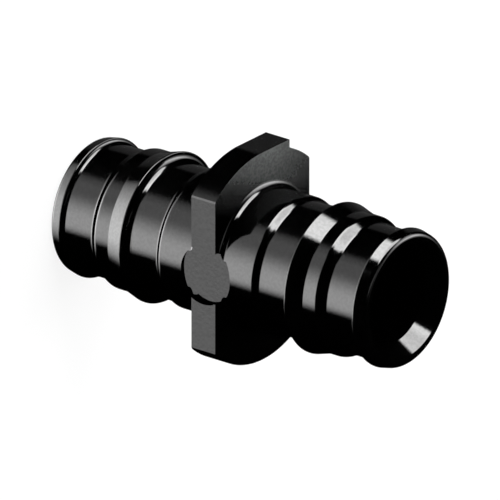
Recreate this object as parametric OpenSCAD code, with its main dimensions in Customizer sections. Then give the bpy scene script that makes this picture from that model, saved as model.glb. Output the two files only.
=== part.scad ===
// Plastic coupling that joins two tubes of the same size by cold expansion.
// One moulded piece: two equal barbed spigots on a stop flange, with a bore right through.
// +Z runs along the bore, +Y points at the flange's flat-topped tab, and the gate recess is on -X.
// The origin is the centre of the flange on the bore's axis. All sizes are in millimetres.

/* [Bore] */
// Diameter of the straight bore
bore_d = 9; // [8.4:0.1:9.8]
// Diameter of the conical mouth at each end face
mouth_d = 11.85; // [11.4:0.05:11.9]
// Depth of the conical mouth
mouth_l = 1.425; // [1:0.025:1.6]
// Radius that rounds the mouth's edge on the end face
mouth_round_r = 0.25; // [0.1:0.05:0.25]

/* [Flange] */
// Diameter of the stop flange
flange_d = 21.1; // [20.4:0.1:22]
// Thickness of the stop flange
flange_t = 2.85; // [2.4:0.05:3.4]
// Distance across the two flats of the flange
flats_w = 14.3; // [14.1:0.1:15]
// Length of the tab's flat top, from the middle of the flange
tab_l = 4.15; // [3.4:0.05:4.8]
// Width of the bevel that breaks each corner between a flat and the flange's circle
bevel_w = 0.2; // [0.1:0.05:0.4]
// Radius of the root fillet between the flange and each collar
root_r = 0.65; // [0.4:0.05:0.7]

/* [Gate recess] */
// Diameter of the round recess in the flat on -X
recess_d = 5.85; // [5:0.05:6.4]
// Depth of the round recess below the flat
recess_h = 0.55; // [0.3:0.05:0.8]

/* [Collar and neck] */
// Diameter of the collar beside the flange
collar_d = 13.7; // [13.4:0.05:13.9]
// Length of the collar, from the flange's face
collar_l = 4.15; // [3:0.05:5]
// Length of the sloped step from the collar down to the neck
neck_step_l = 0.5; // [0.4:0.05:0.8]
// Diameter of the neck behind the barb
neck_d = 13; // [12.7:0.05:13.1]
// Length of the neck
neck_l = 3.7; // [2.5:0.05:4.5]
// Radius of the fillet between the neck and the barb's back face
barb_root_r = 0.6; // [0.3:0.05:0.6]

/* [Barb] */
// Diameter of the barb's crest
barb_d = 14.75; // [14.6:0.05:15]
// Length of the crest on the barb and on the end bead
crest_l = 0.15; // [0.15:0.05:0.3]
// Length of the barb's lead-in cone
lead_l = 1.75; // [1.2:0.05:2.5]
// Diameter of the land in front of the barb
land_d = 13.75; // [13.4:0.05:14]
// Length of the land in front of the barb
land_l = 1.55; // [1:0.05:2]

/* [Groove and end bead] */
// Length of the sloped step from the land down to the groove
groove_step_l = 0.8; // [0.6:0.05:1.2]
// Diameter of the groove
groove_d = 12.65; // [12.4:0.05:12.7]
// Length of the groove
groove_l = 3.45; // [2.5:0.05:4.5]
// Radius of the fillet between the groove and the bead's back face
bead_root_r = 0.35; // [0.15:0.05:0.35]
// Diameter of the end bead
bead_d = 13.6; // [13.6:0.05:13.9]
// Length of the cone from the bead to the end face
tip_l = 1.175; // [0.8:0.025:1.6]
// Diameter of the end face's outer edge, before it is rounded
rim_d = 13.1; // [13:0.05:13.3]
// Radius that rounds the end face's outer edge
rim_round_r = 0.5; // [0.3:0.05:0.5]

/* [Hidden] */
$fn = 96;

// Radius that rounds both ends of each sloped step
step_r = 0.62;
// Radius that breaks the barb's edge
edge_r = 0.1;
// Overshoot of the cutting bodies past a face
over = 1;

// Heights along the axis at which each stretch of a spigot starts
z_face = flange_t / 2;
z_step = z_face + collar_l;
z_neck = z_step + neck_step_l;
z_barb = z_neck + neck_l;
z_lead = z_barb + crest_l;
z_land = z_lead + lead_l;
z_drop = z_land + land_l;
z_groove = z_drop + groove_step_l;
z_bead = z_groove + groove_l;
z_tip = z_bead + crest_l;
z_end = z_tip + tip_l;

// Corners of a spigot's outside from the flange to the bore: [radius, height, rounding, chords]
corners = [
    [flange_d / 2, z_face, 0, 0],
    [collar_d / 2, z_face, root_r, 3],
    [collar_d / 2, z_step, step_r, 1],
    [neck_d / 2, z_neck, step_r, 1],
    [neck_d / 2, z_barb, barb_root_r, 3],
    [barb_d / 2, z_barb, edge_r, 1],
    [barb_d / 2, z_lead, 0, 0],
    [land_d / 2, z_land, 0, 0],
    [land_d / 2, z_drop, step_r, 1],
    [groove_d / 2, z_groove, step_r, 1],
    [groove_d / 2, z_bead, bead_root_r, 2],
    [bead_d / 2, z_bead, 0, 0],
    [bead_d / 2, z_tip, 0, 0],
    [rim_d / 2, z_end, rim_round_r, 2],
    [bore_d / 2, z_end, 0, 0]
];

function at(i) = [corners[i][0], corners[i][1]];
function unit(v) = v / norm(v);
function side(a, b) = a[0] * b[1] - a[1] * b[0];

// Points of the arc of radius r, in n chords, that rounds the corner b between a and c
function rounded(a, b, c, r, n) =
    let (u = unit(a - b))
    let (w = unit(c - b))
    let (half = acos(u * w) / 2)
    let (mid = b + unit(u + w) * r / sin(half))
    let (start = b + u * r / tan(half) - mid)
    let (first = atan2(start[1], start[0]))
    let (turn = (180 - 2 * half) * (side(u, w) > 0 ? -1 : 1))
    [for (i = [0:n]) mid + r * [cos(first + turn * i / n), sin(first + turn * i / n)]];

// Outside of a spigot with its corners rounded, from the flange's face to the end face
outline = [
    for (i = [1:len(corners) - 2])
        each (corners[i][2] == 0
            ? [at(i)]
            : rounded(at(i - 1), at(i), at(i + 1), corners[i][2], corners[i][3]))
];

// One spigot as a solid bar, from the middle of the flange to its end face
module spigot() {
    rotate_extrude()
        polygon(concat([[0, 0], [collar_d / 2 + root_r, 0]], outline, [[0, z_end]]));
}

// Direction of the corner between a flat and the flange's circle, seen from the axis
corner_a = acos(flats_w / flange_d);
// Height on the flange's circle at which the side of the tab ends
tab_h = sqrt(pow(flange_d / 2, 2) - pow(tab_l, 2));

// Outline of the flange before its flats: a circle with the tab, and the four corner bevels
module flange_outline() {
    reach = flange_d / 2 * cos(corner_a / 2) - bevel_w / 2 * tan(corner_a / 2);
    difference() {
        union() {
            circle(d = flange_d);
            translate([0, tab_h - over])
                square([tab_l, flange_d / 2 - tab_h + over]);
        }
        for (mx = [0, 1], my = [0, 1])
            mirror([mx, 0])
                mirror([0, my])
                    rotate(corner_a / 2)
                        translate([reach, -flange_d / 4])
                            square([flange_d / 4, flange_d / 2]);
    }
}

module flange() {
    translate([0, 0, -z_face])
        linear_extrude(flange_t)
            flange_outline();
}

// The two flats, which also trim the root fillets where those pass them
module flats() {
    for (s = [-1, 1])
        translate([s * (flats_w / 2 + flange_d / 4), 0, 0])
            cube([flange_d / 2, flange_d + 2 * over, flange_t + 2 * root_r], center = true);
}

// Height at which the straight bore meets the conical mouth
z_mouth = z_end - mouth_l;
// Rounded edge of the mouth, from its cone to the end face
lip = rounded([bore_d / 2, z_mouth], [mouth_d / 2, z_end], [rim_d / 2, z_end], mouth_round_r, 1);
// One half of the bore's outline, from the middle past the end face
bore_half = concat([[bore_d / 2, z_mouth]], lip, [[lip[1][0], z_end + over]]);

// Bore with a conical mouth and a rounded mouth edge at each end
module bore() {
    last = len(bore_half) - 1;
    rotate_extrude()
        polygon(concat(
            [[0, -z_end - over]],
            [for (i = [last:-1:0]) [bore_half[i][0], -bore_half[i][1]]],
            bore_half,
            [[0, z_end + over]]
        ));
}

// Round recess in the flat on -X, as wide as it needs to cut into both collars
module gate_recess() {
    translate([-flats_w / 2 - over, 0, 0])
        rotate([0, 90, 0])
            cylinder(d = recess_d, h = recess_h + over);
}

module coupling() {
    color([0.03, 0.03, 0.035])
        difference() {
            union() {
                spigot();
                mirror([0, 0, 1])
                    spigot();
                flange();
            }
            flats();
            bore();
            gate_recess();
        }
}

coupling();
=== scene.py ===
"""A moulded plastic coupling for cold-expansion tube, dressed for its picture."""

import logging
import math
from dataclasses import dataclass, field
from enum import Enum
from typing import Any, Sequence

import bpy
import numpy as np
from mathutils import Matrix, Vector


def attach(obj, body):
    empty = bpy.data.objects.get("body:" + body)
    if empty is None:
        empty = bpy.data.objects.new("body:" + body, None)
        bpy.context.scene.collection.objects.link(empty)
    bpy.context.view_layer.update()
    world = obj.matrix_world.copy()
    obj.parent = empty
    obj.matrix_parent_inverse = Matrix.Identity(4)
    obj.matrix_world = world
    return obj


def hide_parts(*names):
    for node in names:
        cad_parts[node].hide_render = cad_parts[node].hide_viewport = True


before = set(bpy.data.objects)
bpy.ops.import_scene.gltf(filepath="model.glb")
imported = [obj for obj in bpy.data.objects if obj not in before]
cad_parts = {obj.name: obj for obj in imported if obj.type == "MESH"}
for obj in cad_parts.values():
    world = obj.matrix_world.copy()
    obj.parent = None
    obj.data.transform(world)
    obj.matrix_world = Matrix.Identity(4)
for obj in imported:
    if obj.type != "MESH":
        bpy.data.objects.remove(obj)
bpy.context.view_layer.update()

MM = 0.001
LOG = logging.getLogger("coupling")

Point = tuple[float, float]
Triple = tuple[float, float, float]
Colour = Triple | bpy.types.NodeSocket

WHITE = (1.0, 1.0, 1.0, 1.0)
# Keeps a division off zero
TINY = 1e-9
# Two outline points closer than this, in millimetres, are one
SAME_SPOT = 1e-4

# How far, in millimetres, a face may lie off a plane, an edge, the recess's wall, the
# collar or the flange's circle and still be taken as part of it
PLANE_GAP = 2e-3
EDGE_GAP = 1e-3
WALL_GAP = 5e-3
COLLAR_GAP = 0.1
CIRCLE_GAP = 0.02
# Parts of a unit normal: straight at a flat, square to it, and level with the flange's faces
FACING = 0.999
SIDEWAYS = 0.02
LEVEL = 0.9999
# Largest angle, in radians, between a face on the flange's circle and the circle
CIRCLE_LEAN = 0.05
# Millimetres of distance that a face's lean counts for when its stretch is picked
LEAN_COST = 0.2
# A true normal that agrees with its face less than this is left flat
MOST_BEND = 0.75


class Term:
    """A shader socket that arithmetic can be written on."""

    def __init__(self, graph: "Graph", socket: bpy.types.NodeSocket) -> None:
        """Keeps the socket and the graph that its Math nodes go into."""
        self.graph = graph
        self.socket = socket

    def __add__(self, other: "Term | float") -> "Term":
        """Returns this value plus another."""
        return self.graph.math("ADD", self, other)

    def __radd__(self, other: float) -> "Term":
        """Returns a number plus this value."""
        return self.graph.math("ADD", other, self)

    def __sub__(self, other: "Term | float") -> "Term":
        """Returns this value minus another."""
        return self.graph.math("SUBTRACT", self, other)

    def __rsub__(self, other: float) -> "Term":
        """Returns a number minus this value."""
        return self.graph.math("SUBTRACT", other, self)

    def __mul__(self, other: "Term | float") -> "Term":
        """Returns this value times another."""
        return self.graph.math("MULTIPLY", self, other)

    def __rmul__(self, other: float) -> "Term":
        """Returns a number times this value."""
        return self.graph.math("MULTIPLY", other, self)

    def __truediv__(self, other: "Term | float") -> "Term":
        """Returns this value divided by another."""
        return self.graph.math("DIVIDE", self, other)

    def __rtruediv__(self, other: float) -> "Term":
        """Returns a number divided by this value."""
        return self.graph.math("DIVIDE", other, self)

    def __neg__(self) -> "Term":
        """Returns this value with its sign turned."""
        return self.graph.math("MULTIPLY", self, -1.0)


class Graph:
    """A node tree that is cleared and then built up node by node."""

    def __init__(self, tree: bpy.types.NodeTree) -> None:
        """Clears the tree and keeps it."""
        tree.nodes.clear()
        self.tree = tree

    def node(
        self,
        kind: str,
        settings: dict[str, Any] | None = None,
        inputs: dict[str | int, Any] | None = None,
    ) -> bpy.types.Node:
        """Makes one node.

        Args:
            kind: the node's type, such as "ShaderNodeMath".
            settings: its own properties; "stops" fills a colour ramp.
            inputs: a value, a Term or a socket for each named or numbered socket.

        Returns:
            The new node.
        """
        made = self.tree.nodes.new(kind)
        for name, value in (settings or {}).items():
            if name == "stops":
                self._fill_ramp(made.color_ramp, value)
            else:
                setattr(made, name, value)
        for name, value in (inputs or {}).items():
            if isinstance(value, Term):
                value = value.socket
            if isinstance(value, bpy.types.NodeSocket):
                self.tree.links.new(value, made.inputs[name])
            else:
                made.inputs[name].default_value = value
        return made

    @staticmethod
    def _fill_ramp(ramp: bpy.types.ColorRamp, stops: Sequence[Point]) -> None:
        """Sets a ramp's stops.

        Args:
            ramp: the colour ramp.
            stops: pairs of position and grey level, in rising order.
        """
        while len(ramp.elements) < len(stops):
            ramp.elements.new(1.0)
        for element, (place, level) in zip(ramp.elements, stops):
            element.position = place
            element.color = (level, level, level, 1.0)

    def out(self, made: bpy.types.Node, name: str | int = 0) -> Term:
        """Returns a node's output as a Term."""
        return Term(self, made.outputs[name])

    def math(self, operation: str, *values: "Term | float") -> Term:
        """Adds a Math node.

        Args:
            operation: the node's operation.
            values: what goes into its sockets, in order.

        Returns:
            The node's result.
        """
        return self.out(self.node("ShaderNodeMath", {"operation": operation}, dict(enumerate(values))))

    def smooth(self, value: Term, low: float, high: float, to: Point = (0.0, 1.0)) -> Term:
        """Eases a value from one level to another between two limits.

        Args:
            value: the value that runs from low to high.
            low: where the easing starts; it may be above high.
            high: where it ends.
            to: the two levels.

        Returns:
            The eased level.
        """
        if low > high:
            low, high, to = high, low, (to[1], to[0])
        return self.out(
            self.node(
                "ShaderNodeMapRange",
                {"interpolation_type": "SMOOTHSTEP"},
                {"Value": value, "From Min": low, "From Max": high, "To Min": to[0], "To Max": to[1]},
            )
        )

    def curve(self, value: Term, points: Sequence[Point]) -> Term:
        """Reads a level off a curve of straight pieces.

        Args:
            value: where to read.
            points: pairs of place and level, in rising order.

        Returns:
            The level, scaled back from the ramp's own range of 0 to 1.
        """
        low, high = points[0][0], points[-1][0]
        top = max(level for _, level in points)
        place = (value - low) * (1.0 / (high - low))
        stops = [((at - low) / (high - low), level / top) for at, level in points]
        return self.out(self.node("ShaderNodeValToRGB", {"stops": stops}, {0: place})) * top

    def noise(self, place: Term, size: float, detail: float, warp: float = 0.0) -> Term:
        """Reads a noise at a point.

        Args:
            place: the point, in metres.
            size: the size of the noise's blots, in metres.
            detail: how many finer layers it has.
            warp: how much it is distorted.

        Returns:
            The noise's level, from 0 to 1.
        """
        return self.out(
            self.node(
                "ShaderNodeTexNoise",
                {"noise_dimensions": "3D"},
                {"Vector": place, "Scale": 1.0 / size, "Detail": detail, "Distortion": warp},
            )
        )

    def blend(self, share: Term, first: Colour, second: Colour) -> bpy.types.NodeSocket:
        """Blends two colours.

        Args:
            share: how much of the second colour shows, from 0 to 1.
            first: a plain colour or a socket that carries one.
            second: the other one.

        Returns:
            The socket that carries the blended colour.
        """
        colours = [(*c, 1.0) if isinstance(c, tuple) else c for c in (first, second)]
        made = self.node(
            "ShaderNodeMix", {"data_type": "RGBA"}, {0: share, 6: colours[0], 7: colours[1]}
        )
        return made.outputs[2]


@dataclass(frozen=True)
class GlossyMoulding:
    """Black engineering plastic as it comes from a polished mould.

    Sizes are in metres, but the painted sheen's are in millimetres, as Coupling's are. The painted sheen
    is light painted into the colour of the flange's faces, standing in for a reflection that lightens
    them. It thins out along fade_way, given along +X and outward from the flange's middle, and thickens
    along rise_way, given along +X, +Y and outward.
    """

    name: str = "glossy black moulding"
    black: Triple = (0.00015, 0.00018, 0.00018)
    worn: Triple = (0.0004, 0.00043, 0.00042)
    ior: float = 1.5
    roughness: float = 0.075
    flow_size: float = 0.009
    flow_warp: float = 0.6
    flow_roughness: float = 0.03
    grain_size: float = 0.00012
    grain_roughness: float = 0.02
    mottle_size: float = 0.00027
    mottle_height: float = 0.0000024
    mottle_coat: float = 0.12
    blot_edges: Point = (0.3, 0.7)
    # Colour of the painted sheen: light painted onto the flange's faces where a reflection would lighten
    # them
    painted_sheen: Triple = (0.088, 0.091, 0.0895)
    painted_sheen_mottle: float = 0.4
    painted_sheen_inside: float = 0.012
    painted_sheen_outside: float = 0.01
    painted_sheen_full: float = 0.003
    fade_way: Point = (0.6195, -0.785)
    rise_way: Triple = (0.3044, 0.9217, 0.2402)

    def build(self, face: float) -> bpy.types.Material:
        """Makes the material.

        Args:
            face: the height of the flange's faces from its middle, in millimetres.

        Returns:
            The finished material.
        """
        material = bpy.data.materials.new(self.name)
        material.use_nodes = True
        graph = Graph(material.node_tree)
        place = graph.out(graph.node("ShaderNodeTexCoord"), "Object")
        flow = graph.noise(place, self.flow_size, detail=3.0, warp=self.flow_warp)
        grain = graph.noise(place, self.grain_size, detail=2.0)
        mottle = graph.noise(place, self.mottle_size, detail=1.0)
        blots = graph.smooth(mottle, *self.blot_edges)
        plastic = graph.blend(graph.smooth(flow, *self.blot_edges), self.black, self.worn)
        painted_sheen_mottling = (1.0 - self.painted_sheen_mottle / 2) + blots * self.painted_sheen_mottle
        # Painted light: the flange faces' colour is lightened towards the tab, a painted reflection,
        # mottled by the blots
        colour_with_painted_sheen = graph.blend(self._painted_sheen_share(graph, place, face) * painted_sheen_mottling, plastic, self.painted_sheen)
        rough = (
            self.roughness
            + (flow - 0.5) * self.flow_roughness
            + (grain - 0.5) * self.grain_roughness
        )
        bump = graph.node(
            "ShaderNodeBump",
            None,
            {"Height": mottle, "Distance": self.mottle_height, "Strength": 1.0},
        )
        shader = graph.node(
            "ShaderNodeBsdfPrincipled",
            None,
            {
                "Base Color": colour_with_painted_sheen,
                "Roughness": rough,
                "IOR": self.ior,
                "Normal": bump.outputs[0],
                "Coat Weight": blots * self.mottle_coat,
                "Coat Roughness": self.roughness,
            },
        )
        graph.node("ShaderNodeOutputMaterial", None, {"Surface": shader.outputs[0]})
        return material

    def _painted_sheen_share(self, graph: Graph, place: Term, face: float) -> Term:
        """Finds where light is painted onto the flange's faces, a painted reflection that is strongest
        towards the tab.

        Args:
            graph: the material's graph.
            place: the point on the piece.
            face: the height of the flange's faces from its middle, in millimetres.

        Returns:
            The painted sheen's share, from 0 to 1.
        """
        axes = graph.node("ShaderNodeSeparateXYZ", None, {0: place})
        x, y, z = (graph.out(axes, i) * (1 / MM) for i in range(3))
        height = graph.math("ABSOLUTE", z)
        on_face = graph.smooth(height, face - self.painted_sheen_inside, face - self.painted_sheen_full)
        on_face = on_face * graph.smooth(height, face + self.painted_sheen_outside, face + self.painted_sheen_full)
        fade = [
            (-6.0, 0.85),
            (-3.5, 0.96),
            (-2.0, 1.0),
            (-0.5, 0.98),
            (1.0, 0.74),
            (2.5, 0.47),
            (4.0, 0.25),
        ]
        rise = [
            (4.0, 0.0),
            (5.0, 0.05),
            (6.0, 0.1),
            (7.0, 0.26),
            (8.0, 0.5),
            (9.0, 0.62),
            (10.0, 0.84),
            (11.0, 1.0),
            (12.0, 1.0),
        ]
        # Painted light: brighter upward along rise_way and fainter along fade_way, on both flange faces
        across = x * self.fade_way[0] + height * self.fade_way[1]
        upward = x * self.rise_way[0] + y * self.rise_way[1] + height * self.rise_way[2]
        return on_face * graph.curve(across, fade) * graph.curve(upward, rise)


class Turn(Enum):
    """How the surface runs along one stretch of a turned outline."""

    LINE = "line"
    ARC = "arc"


class Change(Enum):
    """What a tool does to a body."""

    JOIN = "UNION"
    CUT = "DIFFERENCE"


@dataclass
class Stretch:
    """One line or arc of a turned outline, in radius and height."""

    turn: Turn
    start: Point
    end: Point
    middle: Point = (0.0, 0.0)
    hollow: bool = False
    chords: int = 1

    def points(self) -> list[Point]:
        """Divides the stretch into its chords.

        Returns:
            Its points, from its start up to, not with, its end.
        """
        if self.turn is Turn.LINE:
            return [self.start]
        first = math.atan2(self.start[1] - self.middle[1], self.start[0] - self.middle[0])
        last = math.atan2(self.end[1] - self.middle[1], self.end[0] - self.middle[0])
        sweep = (last - first + math.pi) % (2 * math.pi) - math.pi
        reach = math.dist(self.start, self.middle)
        return [
            (
                self.middle[0] + reach * math.cos(first + sweep * i / self.chords),
                self.middle[1] + reach * math.sin(first + sweep * i / self.chords),
            )
            for i in range(self.chords)
        ]

    def normals(self, spots: np.ndarray, chord: np.ndarray) -> np.ndarray:
        """Works out the true normals at some spots of this stretch.

        Args:
            spots: each spot's radius and height.
            chord: the normal of the chord that they lie on.

        Returns:
            The chord's normal on a line, and the circle's own ones on an arc.
        """
        if self.turn is Turn.LINE:
            return np.broadcast_to(chord, spots.shape)
        arms = spots - self.middle
        arms /= np.maximum(np.hypot(*arms.T), TINY)[:, None]
        return -arms if self.hollow else arms


@dataclass
class Corner:
    """A corner of the turned outline and the radius that rounds it, in millimetres."""

    radius: float
    height: float
    rounding: float = 0.0
    chords: int = 6

    def point(self) -> Point:
        """Returns the corner's radius and height."""
        return (self.radius, self.height)


@dataclass(frozen=True)
class FaceCorners:
    """Corners of a mesh's faces: each one's spot, its face's middle and its face's flat normal."""

    spot: np.ndarray
    middle: np.ndarray
    flat: np.ndarray

    @classmethod
    def of(cls, mesh: bpy.types.Mesh) -> "FaceCorners":
        """Reads all face corners of a mesh.

        Args:
            mesh: the mesh, in metres.

        Returns:
            Its face corners, in millimetres.
        """
        vert_of = cls._read(mesh.loops, "vertex_index", 1, np.int32)[:, 0]
        sizes = cls._read(mesh.polygons, "loop_total", 1, np.int32)[:, 0]
        face_of = np.repeat(np.arange(len(sizes)), sizes)
        spots = cls._read(mesh.vertices, "co", 3, float) / MM
        middles = cls._read(mesh.polygons, "center", 3, float) / MM
        flats = cls._read(mesh.polygons, "normal", 3, float)
        return cls(spots[vert_of], middles[face_of], flats[face_of])

    @staticmethod
    def _read(items: Any, name: str, width: int, kind: type) -> np.ndarray:
        """Reads one property of all the items.

        Args:
            items: the mesh's points, face corners or faces.
            name: the property.
            width: how many numbers it has for each item.
            kind: the type of its numbers.

        Returns:
            The numbers, one row for each item.
        """
        values = np.empty(len(items) * width, dtype=kind)
        items.foreach_get(name, values)
        return values.reshape(-1, width)

    def only(self, mask: np.ndarray) -> "FaceCorners":
        """Returns the face corners that a mask picks."""
        return FaceCorners(self.spot[mask], self.middle[mask], self.flat[mask])

    def away(self) -> tuple[np.ndarray, np.ndarray]:
        """Measures the spots from the bore's axis.

        Returns:
            Each spot's unit direction away from the axis, and its distance.
        """
        reach = np.hypot(self.spot[:, 0], self.spot[:, 1])
        return self.spot[:, :2] / np.maximum(reach, TINY)[:, None], reach


@dataclass
class Coupling:
    """The whole moulding: two barbed spigots on a stop flange, in millimetres."""

    bore_r: float = 4.6
    mouth_r: float = 5.68
    mouth_l: float = 1.5
    flange_r: float = 10.55
    flange_t: float = 2.85
    flats_w: float = 14.3
    tab_l: float = 4.15
    bevel_w: float = 0.2
    root_r: float = 0.65
    recess_r: float = 2.925
    recess_h: float = 0.55
    collar_r: float = 6.85
    collar_l: float = 4.15
    neck_step_l: float = 0.5
    neck_r: float = 6.5
    neck_l: float = 3.7
    barb_root_r: float = 0.6
    barb_r: float = 7.375
    crest_l: float = 0.15
    lead_l: float = 1.75
    lead_round_r: float = 0.35
    land_r: float = 6.875
    land_l: float = 1.55
    groove_step_l: float = 0.8
    groove_r: float = 6.325
    groove_l: float = 3.45
    bead_root_r: float = 0.35
    bead_r: float = 6.8
    tip_l: float = 1.175
    rim_r: float = 6.55
    rim_round_r: float = 0.5
    step_r: float = 0.62
    edge_r: float = 0.08
    crest_edge_r: float = 0.072
    plate_edge_r: float = 0.005
    plate_edge_chords: int = 5
    plate_arc_chords: int = 24
    trim_w: float = 4.0
    trim_l: float = 18.0
    recess_over: float = 3.0
    recess_around: int = 160
    around: int = 288
    finish: GlossyMoulding = field(default_factory=GlossyMoulding)

    def corners(self) -> list[Corner]:
        """Lists the corners of one spigot's outline.

        Returns:
            The corners, from the flange's middle round the end face to the bore's middle.
        """
        face = self.flange_t / 2
        step = face + self.collar_l
        neck = step + self.neck_step_l
        barb = neck + self.neck_l
        lead = barb + self.crest_l
        land = lead + self.lead_l
        drop = land + self.land_l
        groove = drop + self.groove_step_l
        bead = groove + self.groove_l
        tip = bead + self.crest_l
        end = tip + self.tip_l
        return [
            Corner(self.collar_r + self.root_r, 0.0),
            Corner(self.collar_r + self.root_r, face),
            Corner(self.collar_r, face, self.root_r, chords=12),
            Corner(self.collar_r, step, self.step_r),
            Corner(self.neck_r, neck, self.step_r),
            Corner(self.neck_r, barb, self.barb_root_r, chords=12),
            Corner(self.barb_r, barb, self.edge_r, chords=5),
            Corner(self.barb_r, lead, self.crest_edge_r, chords=3),
            Corner(self.land_r, land, self.lead_round_r, chords=4),
            Corner(self.land_r, drop, self.step_r),
            Corner(self.groove_r, groove, self.step_r),
            Corner(self.groove_r, bead, self.bead_root_r, chords=10),
            Corner(self.bead_r, bead, self.edge_r, chords=5),
            Corner(self.bead_r, tip, self.crest_edge_r, chords=3),
            Corner(self.rim_r, end, self.rim_round_r, chords=14),
            Corner(self.mouth_r, end),
            Corner(self.bore_r, end - self.mouth_l, self.edge_r, chords=3),
            Corner(self.bore_r, 0.0),
        ]

    def stretches(self) -> list[Stretch]:
        """Divides one spigot's outline into lines and arcs.

        Returns:
            The stretches in order, each corner's rounding cut out of the lines beside it.
        """
        corners = self.corners()
        made: list[Stretch] = []
        here = corners[0].point()
        for before, corner, after in zip(corners, corners[1:], corners[2:]):
            b = Vector(corner.point())
            if corner.rounding == 0.0:
                made.append(Stretch(Turn.LINE, here, tuple(b)))
                here = tuple(b)
                continue
            u = (Vector(before.point()) - b).normalized()
            w = (Vector(after.point()) - b).normalized()
            half = u.angle(w) / 2
            middle = b + (u + w).normalized() * corner.rounding / math.sin(half)
            start = tuple(b + u * corner.rounding / math.tan(half))
            end = tuple(b + w * corner.rounding / math.tan(half))
            made.append(Stretch(Turn.LINE, here, start))
            hollow = (u.x * w.y - u.y * w.x) > 0
            made.append(Stretch(Turn.ARC, start, end, tuple(middle), hollow, corner.chords))
            here = end
        made.append(Stretch(Turn.LINE, here, corners[-1].point()))
        return made

    def turned_body(self) -> bpy.types.Object:
        """Turns both spigots and the bore as one ring.

        Returns:
            The turned body, closed and ready for cutting.
        """
        upper = [p for s in self.stretches() for p in s.points()] + [self.corners()[-1].point()]
        upper = [p for i, p in enumerate(upper) if i == 0 or math.dist(p, upper[i - 1]) > SAME_SPOT]
        lower = [(r, -h) for r, h in reversed(upper[1:-1])]
        loop = upper + lower
        angles = np.arange(self.around) * 2 * math.pi / self.around
        ring = np.array(loop)
        verts = np.stack(
            [
                ring[None, :, 0] * np.cos(angles)[:, None],
                ring[None, :, 0] * np.sin(angles)[:, None],
                np.broadcast_to(ring[None, :, 1], (self.around, len(loop))),
            ],
            axis=-1,
        ).reshape(-1, 3)
        count = len(loop)
        faces = []
        for i in range(self.around):
            a, b = i * count, ((i + 1) % self.around) * count
            for k in range(count):
                n = (k + 1) % count
                faces.append((a + k, b + k, b + n, a + n))
        return make_object("turned body", verts, faces)

    def plate_outline(self) -> list[tuple[Point, Point]]:
        """Draws the flange's outline.

        Returns:
            Pairs of point and offset: where an outline point lies and which way it moves
            when the outline shrinks by one unit.
        """
        half = self.flats_w / 2
        bevel_a = math.acos(half / self.flange_r) / 2
        reach = self.flange_r * math.cos(bevel_a) - self.bevel_w / 2 * math.tan(bevel_a)
        low = (reach - half * math.cos(bevel_a)) / math.sin(bevel_a)
        arc_from = bevel_a + math.acos(reach / self.flange_r)
        tab_a = math.acos(self.tab_l / self.flange_r)

        def arc(first: float, last: float, steps: int) -> list[Point]:
            """Returns points on the flange's circle, from one angle up to and with another."""
            angles = [first + (last - first) * i / steps for i in range(steps + 1)]
            return [(self.flange_r * math.cos(a), self.flange_r * math.sin(a)) for a in angles]

        path: list[Point] = [(half, -low), (half, low)]
        path += arc(arc_from, tab_a, self.plate_arc_chords)
        path += [(self.tab_l, self.flange_r), (0.0, self.flange_r)]
        path += arc(math.pi / 2, math.pi - arc_from, 2 * self.plate_arc_chords)[1:]
        path += [(-half, low), (-half, -low)]
        path += arc(math.pi + arc_from, 2 * math.pi - arc_from, 4 * self.plate_arc_chords)
        edges: list[tuple[Point, Point]] = []
        for i, point in enumerate(path):
            n1 = self._outward(path[i - 1], point)
            n2 = self._outward(point, path[(i + 1) % len(path)])
            scale = 1.0 + n1[0] * n2[0] + n1[1] * n2[1]
            edges.append((point, (-(n1[0] + n2[0]) / scale, -(n1[1] + n2[1]) / scale)))
        return edges

    @staticmethod
    def _outward(a: Point, b: Point) -> Point:
        """Returns the unit direction out of an edge that runs anticlockwise from a to b."""
        length = math.dist(a, b)
        return ((b[1] - a[1]) / length, (a[0] - b[0]) / length)

    def plate(self) -> bpy.types.Object:
        """Builds the stop flange with its tab, flats and broken edges, as a ring.

        Returns:
            The plate, closed, with a hole that the turned body fills.
        """
        outline = self.plate_outline()
        count = len(outline)
        edge, steps = self.plate_edge_r, self.plate_edge_chords
        turns = [math.pi / 2 * i / steps for i in range(steps + 1)]
        levels: list[Point] = [
            (self.flange_t / 2 - edge * (1 - math.sin(t)), edge * (1 - math.cos(t))) for t in turns
        ]
        sections = [(-z, inset) for z, inset in reversed(levels)] + levels
        hole = (self.bore_r + self.collar_r) / 2
        verts: list[Triple] = []
        for z, inset in sections:
            verts += [(p[0] + d[0] * inset, p[1] + d[1] * inset, z) for p, d in outline]
        for z in (self.flange_t / 2, -self.flange_t / 2):
            for p, _ in outline:
                reach = math.hypot(*p)
                verts.append((p[0] / reach * hole, p[1] / reach * hole, z))
        loops = len(sections) + 2
        faces = []
        for k in range(loops):
            a, b = k * count, ((k + 1) % loops) * count
            for i in range(count):
                n = (i + 1) % count
                faces.append((a + i, a + n, b + n, b + i))
        return make_object("stop plate", np.array(verts), faces)

    def trimmer(self, side: int) -> bpy.types.Object:
        """Makes the box that trims the root fillets where they pass a flat.

        Args:
            side: 1 for the flat on +X, -1 for the one on -X.

        Returns:
            The box, outside that flat.
        """
        x0, x1 = sorted((side * self.flats_w / 2, side * (self.flats_w / 2 + self.trim_w)))
        y1 = self.trim_l / 2
        z1 = self.flange_t / 2 + self.root_r
        return make_box("trimmer", (x0, -y1, -z1), (x1, y1, z1))

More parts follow.
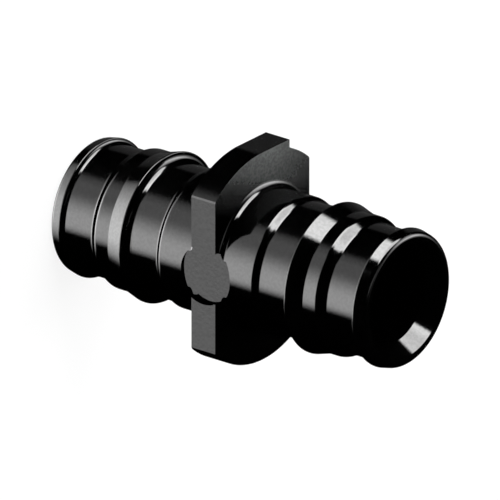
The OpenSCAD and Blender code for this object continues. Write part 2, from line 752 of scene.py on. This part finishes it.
    def recess_cutter(self) -> bpy.types.Object:
        """Makes the round cutter of the gate recess.

        Returns:
            The cutter, from outside the flat on -X down to the recess's floor.
        """
        angles = np.arange(self.recess_around) * 2 * math.pi / self.recess_around
        x0, x1 = -self.flats_w / 2 - self.recess_over, -self.flats_w / 2 + self.recess_h
        ring = [(self.recess_r * math.cos(a), self.recess_r * math.sin(a)) for a in angles]
        verts = [(x0, y, z) for y, z in ring] + [(x1, y, z) for y, z in ring]
        count = len(ring)
        faces = [tuple(range(count - 1, -1, -1)), tuple(range(count, 2 * count))]
        faces += [(i, (i + 1) % count, count + (i + 1) % count, count + i) for i in range(count)]
        return make_object("recess cutter", np.array(verts), faces)

    def build(self) -> bpy.types.Object:
        """Builds the moulding as one closed mesh with true normals.

        Returns:
            The finished piece.
        """
        body = self.turned_body()
        for side in (-1, 1):
            combine(body, self.trimmer(side), Change.CUT)
        combine(body, self.plate(), Change.JOIN)
        combine(body, self.recess_cutter(), Change.CUT)
        body.name = "moulded_coupling"
        body.data.name = "moulded_coupling"
        self._true_normals(body.data)
        return body

    def _true_normals(self, mesh: bpy.types.Mesh) -> None:
        """Gives every face corner the normal of the true surface under it.

        Args:
            mesh: the moulding's mesh, in metres.
        """
        corners = FaceCorners.of(mesh)
        wall, rim, turned = self._curved_zones(corners)
        true = corners.flat.copy()
        # The recess's wall faces its own axis, which runs along X
        true[wall] = corners.spot[wall] * (0.0, -1.0, -1.0)
        true[rim] = self._rim_normals(corners.only(rim))
        true[turned] = self._turned_normals(corners.only(turned))
        true /= np.linalg.norm(true, axis=1)[:, None]
        wrong = (true * corners.flat).sum(axis=1) < MOST_BEND
        LOG.info("corners whose true normal leaves the face by a lot: %d of %d", wrong.sum(), len(wrong))
        true[wrong] = corners.flat[wrong]
        mesh.polygons.foreach_set("use_smooth", np.ones(len(mesh.polygons), dtype=bool))
        mesh.normals_split_custom_set(true.tolist())
        mesh.update()

    def _curved_zones(self, corners: FaceCorners) -> tuple[np.ndarray, np.ndarray, np.ndarray]:
        """Finds the face corners that lie on curved surfaces.

        Args:
            corners: all face corners of the moulding.

        Returns:
            Masks of the recess's wall, the flange's rim, and the turned spigots and bore.
        """
        x, y, z = corners.middle.T
        flat_x, _, flat_z = corners.flat.T
        half = self.flats_w / 2
        floor_x = self.recess_h - half
        on_flat = (np.abs(np.abs(x) - half) < PLANE_GAP) & (np.abs(flat_x) > FACING)
        on_floor = (np.abs(x - floor_x) < PLANE_GAP) & (flat_x < -FACING)
        on_wall = (
            (x < floor_x + EDGE_GAP)
            & (np.abs(np.hypot(y, z) - self.recess_r) < WALL_GAP)
            & (np.abs(flat_x) < SIDEWAYS)
        )
        on_plate = (
            (np.abs(z) < self.flange_t / 2 + EDGE_GAP)
            & (np.hypot(x, y) > self.collar_r + COLLAR_GAP)
            & ~(on_flat | on_floor | on_wall)
        )
        on_rim = on_plate & (np.abs(flat_z) <= LEVEL)
        return on_wall, on_rim, ~(on_flat | on_floor | on_wall | on_plate)

    def _rim_normals(self, corners: FaceCorners) -> np.ndarray:
        """Works out the normals on the flange's rim and on its broken edges.

        Args:
            corners: the face corners on the rim.

        Returns:
            One normal for each of them.
        """
        away, reach = corners.away()
        plan = corners.flat[:, :2]
        plan = plan / np.maximum(np.hypot(*plan.T), TINY)[:, None]
        on_circle = np.abs(reach - self.flange_r) < self.plate_edge_r + CIRCLE_GAP
        on_circle &= (plan * away).sum(axis=1) > math.cos(CIRCLE_LEAN)
        plan[on_circle] = away[on_circle]
        height = corners.spot[:, 2]
        rim_z = self.flange_t / 2 - self.plate_edge_r
        rise = np.clip((np.abs(height) - rim_z) / self.plate_edge_r, 0.0, 1.0)
        return np.column_stack([plan * np.sqrt(1 - rise**2)[:, None], np.sign(height) * rise])

    def _turned_normals(self, corners: FaceCorners) -> np.ndarray:
        """Works out the normals on the spigots and in the bore.

        Args:
            corners: the face corners on the turned surfaces.

        Returns:
            One normal for each of them, from the stretch of the turned outline that its face
            lies nearest to and leans most alike.
        """
        away, reach = corners.away()
        radius = np.hypot(corners.middle[:, 0], corners.middle[:, 1])
        side = np.sign(corners.middle[:, 2])
        spots = np.column_stack([reach, np.abs(corners.spot[:, 2])])
        middles = np.column_stack([radius, np.abs(corners.middle[:, 2])])
        outward = (corners.flat[:, :2] * corners.middle[:, :2]).sum(axis=1) / np.maximum(radius, TINY)
        lean = np.column_stack([outward, corners.flat[:, 2] * side])
        best = np.full(len(lean), np.inf)
        normal = lean.copy()
        for stretch in self.stretches():
            ends = stretch.points() + [stretch.end]
            for a, b in zip(ends, ends[1:]):
                length = math.dist(a, b)
                if length < SAME_SPOT:
                    continue
                unit = np.subtract(b, a) / length
                along = np.clip((middles - a) @ unit, 0.0, length)
                gap = np.hypot(*(middles - a - along[:, None] * unit).T)
                chord = np.array([unit[1], -unit[0]])
                cost = gap + LEAN_COST * (1 - lean @ chord)
                nearer = cost < best
                best[nearer] = cost[nearer]
                normal[nearer] = stretch.normals(spots[nearer], chord)
        return np.column_stack([away * normal[:, :1], normal[:, 1] * side])

    def dress(self, piece: bpy.types.Object) -> None:
        """Gives the piece its finish and ties it to the frame.

        Args:
            piece: the moulding.
        """
        piece.data.materials.clear()
        piece.data.materials.append(self.finish.build(self.flange_t / 2))
        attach(piece, "root")
        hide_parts("coupling")


def make_object(name: str, verts: np.ndarray, faces: Sequence[Sequence[int]]) -> bpy.types.Object:
    """Makes a mesh object from points in millimetres.

    Args:
        name: the object's name.
        verts: its points.
        faces: its faces, as runs of point numbers.

    Returns:
        The object, linked into the scene.
    """
    mesh = bpy.data.meshes.new(name)
    mesh.from_pydata((np.asarray(verts) * MM).tolist(), [], [list(map(int, f)) for f in faces])
    mesh.validate()
    mesh.update()
    made = bpy.data.objects.new(name, mesh)
    bpy.context.scene.collection.objects.link(made)
    return made


def make_box(name: str, low: Sequence[float], high: Sequence[float]) -> bpy.types.Object:
    """Makes a box from its lowest and highest corners, in millimetres.

    Args:
        name: the object's name.
        low: the lowest corner.
        high: the highest corner.

    Returns:
        The box.
    """
    ends = (low, high)
    verts = [(ends[i][0], ends[j][1], ends[k][2]) for i in (0, 1) for j in (0, 1) for k in (0, 1)]
    faces = [(0, 1, 3, 2), (4, 6, 7, 5), (0, 4, 5, 1), (2, 3, 7, 6), (0, 2, 6, 4), (1, 5, 7, 3)]
    return make_object(name, np.array(verts), faces)


def combine(body: bpy.types.Object, tool: bpy.types.Object, change: Change) -> None:
    """Joins a tool onto a body or cuts it out, and deletes the tool.

    Args:
        body: the object that changes.
        tool: the object that acts on it.
        change: what the tool does.
    """
    step = body.modifiers.new(change.name, "BOOLEAN")
    step.object = tool
    step.operation = change.value
    step.solver = "MANIFOLD"
    with bpy.context.temp_override(object=body, active_object=body):
        bpy.ops.object.modifier_apply(modifier=step.name)
    LOG.info("%s with %s leaves %d faces", change.name, tool.name, len(body.data.polygons))
    bpy.data.objects.remove(tool)


@dataclass
class Studio:
    """The floor, the lights and the camera.

    Lengths are in metres and angles in degrees. Right, up and near are the camera's axes.
    """

    right: Triple = (0.61948, 0.0, 0.78502)
    up: Triple = (0.30442, 0.92175, -0.24023)
    near: Triple = (-0.72359, 0.38779, 0.57100)
    aim_right: float = -0.0000374
    aim_up: float = 0.0002516
    camera_away: float = 0.4
    camera_clip: Point = (0.01, 10.0)
    view_width: float = 0.047
    floor_z: float = -0.0188
    floor_size: float = 3.0
    floor_grey: float = 0.9
    floor_glow: float = 0.86
    lamp_spread: float = 100.0
    lamp_power: float = 2.0
    lamp_height: float = 0.5
    box_level: float = 0.94
    fill_level: float = 0.085

    def camera(self) -> None:
        """Sets up the camera at the photograph's viewing angle."""
        data = bpy.data.cameras.new("camera")
        data.type = "ORTHO"
        data.ortho_scale = self.view_width
        data.clip_start, data.clip_end = self.camera_clip
        holder = bpy.data.objects.new("camera", data)
        right, up, near = Vector(self.right), Vector(self.up), Vector(self.near)
        place = right * self.aim_right + up * self.aim_up + near * self.camera_away
        turn = Matrix((right, up, near)).transposed().to_4x4()
        holder.matrix_world = Matrix.Translation(place) @ turn
        bpy.context.scene.collection.objects.link(holder)
        bpy.context.scene.camera = holder

    def floor(self) -> None:
        """Lays the pale floor, which keeps a soft shadow."""
        half = self.floor_size / 2 / MM
        z = self.floor_z / MM
        verts = [(-half, -half, z), (half, -half, z), (half, half, z), (-half, half, z)]
        plane = make_object("floor", np.array(verts), [(0, 1, 2, 3)])
        material = bpy.data.materials.new("pale floor")
        material.use_nodes = True
        graph = Graph(material.node_tree)
        seen = graph.out(graph.node("ShaderNodeLightPath"), "Is Camera Ray")
        grey = self.floor_grey
        paint = graph.node("ShaderNodeBsdfDiffuse", None, {"Color": (grey, grey, grey, 1.0)})
        glow = graph.node("ShaderNodeEmission", None, {"Color": WHITE, "Strength": 1.0})
        mixed = graph.node(
            "ShaderNodeMixShader",
            None,
            {0: seen * self.floor_glow, 1: paint.outputs[0], 2: glow.outputs[0]},
        )
        graph.node("ShaderNodeOutputMaterial", None, {"Surface": mixed.outputs[0]})
        plane.data.materials.append(material)
        plane.visible_glossy = False

    def lamp(self) -> None:
        """Hangs a wide soft lamp over the floor for the shadow."""
        data = bpy.data.lights.new("overhead lamp", "SUN")
        data.angle = math.radians(self.lamp_spread)
        data.energy = self.lamp_power
        holder = bpy.data.objects.new("overhead lamp", data)
        holder.location = (0.0, 0.0, self.lamp_height)
        holder.visible_glossy = False
        bpy.context.scene.collection.objects.link(holder)

    def surroundings(self) -> None:
        """Paints the soft boxes of the studio into the world, by direction."""
        world = bpy.data.worlds.new("studio")
        bpy.context.scene.world = world
        world.use_nodes = True
        world.cycles.sampling_method = "NONE"
        graph = Graph(world.node_tree)
        way = graph.node("ShaderNodeTexCoord")
        axes = graph.node("ShaderNodeSeparateXYZ", None, {0: way.outputs["Generated"]})
        x, y, z = (graph.out(axes, i) for i in range(3))
        degrees = math.degrees(1.0)
        lift = graph.math("ARCSINE", y) * degrees
        turn = graph.math("ARCTAN2", -x, -z) * degrees
        back_turn = graph.math("ARCTAN2", x, z) * degrees
        light = (
            self._key_box(graph, lift, turn)
            + self._top_box(graph, x, y, z)
            + self._front_box(graph, lift, back_turn)
            + self._fill(graph, lift, turn)
        )
        path = graph.node("ShaderNodeLightPath")
        # The boxes show in first reflections only, as in the photograph
        once = graph.math("LESS_THAN", graph.out(path, "Glossy Depth"), 1.5)
        light = light * once * self.box_level
        seen = graph.out(path, "Is Camera Ray")
        boxes = graph.node("ShaderNodeBackground", None, {"Color": WHITE, "Strength": light})
        backdrop = graph.node("ShaderNodeBackground", None, {"Color": WHITE, "Strength": 1.0})
        mixed = graph.node(
            "ShaderNodeMixShader", None, {0: seen, 1: boxes.outputs[0], 2: backdrop.outputs[0]}
        )
        graph.node("ShaderNodeOutputWorld", None, {"Surface": mixed.outputs[0]})

    @staticmethod
    def _key_box(graph: Graph, lift: Term, turn: Term) -> Term:
        """Paints the tall soft box beside the recessed flat.

        Args:
            graph: the world's graph.
            lift: degrees above the plane of the bore and the flats' normal.
            turn: degrees round +Y, from -Z towards -X.

        Returns:
            The box's brightness in this direction.
        """
        side_foot = [
            (-27.6, 0.0),
            (-26.5, 0.22),
            (-25.5, 0.65),
            (-24.5, 1.2),
            (-23.5, 1.78),
            (-21.5, 2.93),
            (-19.5, 4.05),
            (-18.0, 4.7),
            (-16.0, 5.25),
            (-14.0, 5.6),
            (-11.5, 5.8),
        ]
        back_foot = [
            (-35.5, 0.0),
            (-33.5, 0.2),
            (-30.5, 1.0),
            (-27.5, 1.9),
            (-24.5, 2.7),
            (-21.5, 3.45),
            (-18.5, 4.25),
            (-15.5, 5.0),
            (-12.5, 5.5),
            (-9.0, 5.8),
        ]
        top = [
            (-4.0, 6.05),
            (3.5, 6.0),
            (8.5, 5.4),
            (13.5, 4.6),
            (18.5, 3.6),
            (23.5, 2.6),
            (28.5, 1.8),
            (33.0, 1.45),
            (45.0, 1.35),
            (47.75, 0.97),
            (49.25, 0.74),
            (50.75, 0.54),
            (52.0, 0.3),
            (53.25, 0.04),
            (54.0, 0.0),
        ]
        across = [
            (-9.0, 0.0),
            (-6.0, 0.35),
            (-2.0, 0.85),
            (5.0, 1.35),
            (15.0, 1.7),
            (22.0, 1.4),
            (29.0, 1.3),
            (33.0, 1.02),
            (55.0, 1.0),
            (68.0, 0.9),
            (73.0, 0.0),
        ]
        back = graph.smooth(turn, 46.0, 30.0)
        side_rise = graph.curve(lift, side_foot + top) * (1.0 - back)
        back_rise = graph.curve(lift, back_foot + top) * back
        return (side_rise + back_rise) * graph.curve(turn, across)

    @staticmethod
    def _top_box(graph: Graph, x: Term, y: Term, z: Term) -> Term:
        """Paints the wide soft box over the tab's side.

        Its edges are slopes: how far a direction leans to +X or +Z for one step along +Y.

        Args:
            graph: the world's graph.
            x: the direction's part along +X.
            y: its part along +Y.
            z: its part along +Z.

        Returns:
            The box's brightness in this direction.
        """
        left_edge, left_blur, right_blur = -0.302, 0.065, 0.1
        right_edge = [(-0.6, 0.43), (-0.22, 0.43), (0.0, 0.58), (0.14, 0.69), (0.3, 0.72), (1.5, 0.73)]
        bright_width, bright, dim = 0.13, 16.5, 12.1
        fade_width = [(-0.6, 0.8), (-0.1, 0.75), (0.35, 0.28), (1.5, 0.28)]
        above_level = graph.math("MAXIMUM", y, 0.05)
        across, along = x / above_level, z / above_level
        from_left = across - left_edge
        from_right = graph.curve(along, right_edge) - across
        inside = (
            graph.smooth(from_left, -left_blur, left_blur)
            * graph.smooth(from_right, -right_blur, right_blur)
            * graph.smooth(along, 0.82, 0.7)
            * graph.smooth(along, -0.52, -0.44)
            * graph.smooth(y, 0.3, 0.4)
        )
        fade = (from_left - bright_width) / graph.curve(along, fade_width)
        return inside * graph.smooth(fade, 0.0, 1.0, (bright, dim))

    @staticmethod
    def _front_box(graph: Graph, lift: Term, back_turn: Term) -> Term:
        """Paints the soft box in front of the open end.

        Args:
            graph: the world's graph.
            lift: degrees above the plane of the bore and the flats' normal.
            back_turn: degrees round +Y, from +Z towards +X.

        Returns:
            The box's brightness in this direction.
        """
        rise = [
            (-21.0, 0.0),
            (-17.0, 0.4),
            (-10.0, 1.3),
            (-3.0, 3.4),
            (1.0, 6.0),
            (4.0, 7.6),
            (8.0, 8.4),
            (11.0, 8.2),
            (14.0, 7.2),
            (18.0, 6.2),
            (24.0, 4.9),
            (30.0, 3.8),
            (35.0, 2.4),
            (39.0, 0.6),
            (42.0, 0.0),
        ]
        across = [
            (20.0, 0.0),
            (25.0, 0.05),
            (28.0, 0.14),
            (31.0, 0.33),
            (35.0, 0.58),
            (40.0, 0.9),
            (45.0, 1.0),
            (57.0, 0.95),
            (63.0, 0.64),
            (68.0, 0.36),
            (73.0, 0.12),
            (77.0, 0.0),
        ]
        strip_rise = [(-4.0, 0.0), (1.0, 0.9), (9.0, 0.9), (15.0, 0.0)]
        strip = graph.smooth(back_turn, -18.0, -8.0) * graph.smooth(back_turn, 24.0, 10.0)
        strip = strip * graph.curve(lift, strip_rise)
        return graph.curve(lift, rise) * graph.curve(back_turn, across) + strip

    def _fill(self, graph: Graph, lift: Term, turn: Term) -> Term:
        """Paints the faint glow opposite the key box.

        Args:
            graph: the world's graph.
            lift: degrees above the plane of the bore and the flats' normal.
            turn: degrees round +Y, from -Z towards -X.

        Returns:
            The glow's brightness in this direction.
        """
        across = graph.smooth(turn, -72.0, -62.0) * graph.smooth(turn, -26.0, -34.0)
        rise = graph.smooth(lift, -16.0, -6.0) * graph.smooth(lift, 29.5, 23.5)
        return across * rise * self.fill_level

    def build(self) -> None:
        """Sets up the whole studio."""
        bpy.context.scene.view_settings.view_transform = "Standard"
        self.camera()
        self.floor()
        self.lamp()
        self.surroundings()


def main() -> None:
    """Builds the coupling and the studio in order."""
    logging.basicConfig(level=logging.INFO, format="%(name)s: %(message)s")
    coupling = Coupling()
    piece = coupling.build()
    coupling.dress(piece)
    LOG.info("%s: %d faces", piece.name, len(piece.data.polygons))
    Studio().build()
    LOG.info("studio: floor, lamp, soft boxes and camera")


if __name__ == "__main__":
    main()
